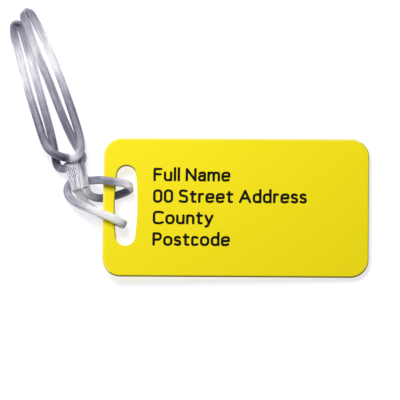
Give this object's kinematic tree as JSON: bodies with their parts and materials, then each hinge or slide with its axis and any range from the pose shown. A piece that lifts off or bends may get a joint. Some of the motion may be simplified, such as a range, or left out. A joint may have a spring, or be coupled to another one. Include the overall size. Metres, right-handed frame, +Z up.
{
  "type": "luggage tag",
  "caption": "Flat engraved address tag with a round-ended slot, hitched on a clear moulded loop strap that slides along its bar and lifts.",
  "frame": {"origin": "on the table, under the middle of the tag's outline", "axes": "+X along the tag's length, away from the strap and the way the lettering reads; +Y across the tag, towards the top of the lettering; +Z up, out of the engraved face"},
  "size_m": [0.1161, 0.0888, 0.006],
  "materials": {
    "yellow_cap": "satin yellow acrylic cap sheet",
    "black_core": "matt black acrylic core, bared by the engraving",
    "clear_strap": "clear flexible PVC, glossy"
  },
  "bodies": {
    "tag": {"front_layer": "yellow_cap", "core_layer": "black_core", "back_layer": "yellow_cap"},
    "hitch": {"strap_eye": "clear_strap"},
    "strap": {"strap_collar": "clear_strap", "strap_loop": "clear_strap"}
  },
  "joints": [
    {"name": "hitch_slide", "type": "slide", "parent": "tag", "child": "hitch", "axis": [0, 1, 0], "range_m": [-0.005, 0.0045]},
    {"name": "strap_lift", "type": "hinge", "parent": "hitch", "child": "strap", "pos_m": [-0.0505, 0.0066, 0.00405], "axis": [0.96, 0.28, 0], "range_deg": [0, 100]}
  ]
}
